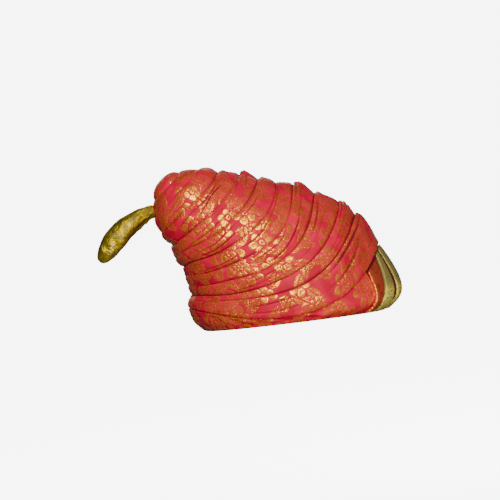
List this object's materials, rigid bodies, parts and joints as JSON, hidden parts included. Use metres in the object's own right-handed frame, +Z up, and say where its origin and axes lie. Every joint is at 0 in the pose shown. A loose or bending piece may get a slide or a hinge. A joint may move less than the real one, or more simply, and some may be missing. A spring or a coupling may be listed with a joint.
{
  "type": "tied turban pagri",
  "caption": "Ready-tied red and gold brocade pagri: lapped turns wound up a leaning hollow cone, open below for the head, with gold strips behind the rim and a padded gold horn at the tip",
  "frame": {"origin": "middle of the underside of the bounding box: halfway along the whole length, horn included, on the plane that the rim stands on", "axes": "+X points to the back of the head, where the gold strips are, so the horn points along -X; +Z is up from the rim; +Y is to the wearer's right, and Y = 0 is the plane of symmetry"},
  "size_m": [0.3271, 0.1964, 0.1789],
  "materials": {
    "brocade": "crimson silk with flowers woven in gold thread",
    "gold_cloth": "cloth of gold thread, satin shine"
  },
  "bodies": {
    "root": {"rim_band": "brocade", "turn_01": "brocade", "turn_02": "brocade", "turn_03": "brocade", "turn_04": "brocade", "turn_05": "brocade", "turn_06": "brocade", "turn_07": "brocade", "turn_08": "brocade", "turn_09": "brocade", "turn_10": "brocade", "tip_cap": "brocade", "pleat_near": "brocade", "pleat_far": "brocade", "gold_strip_near": "gold_cloth", "gold_strip_back": "gold_cloth", "gold_strip_far": "gold_cloth", "horn": "gold_cloth"}
  },
  "joints": []
}
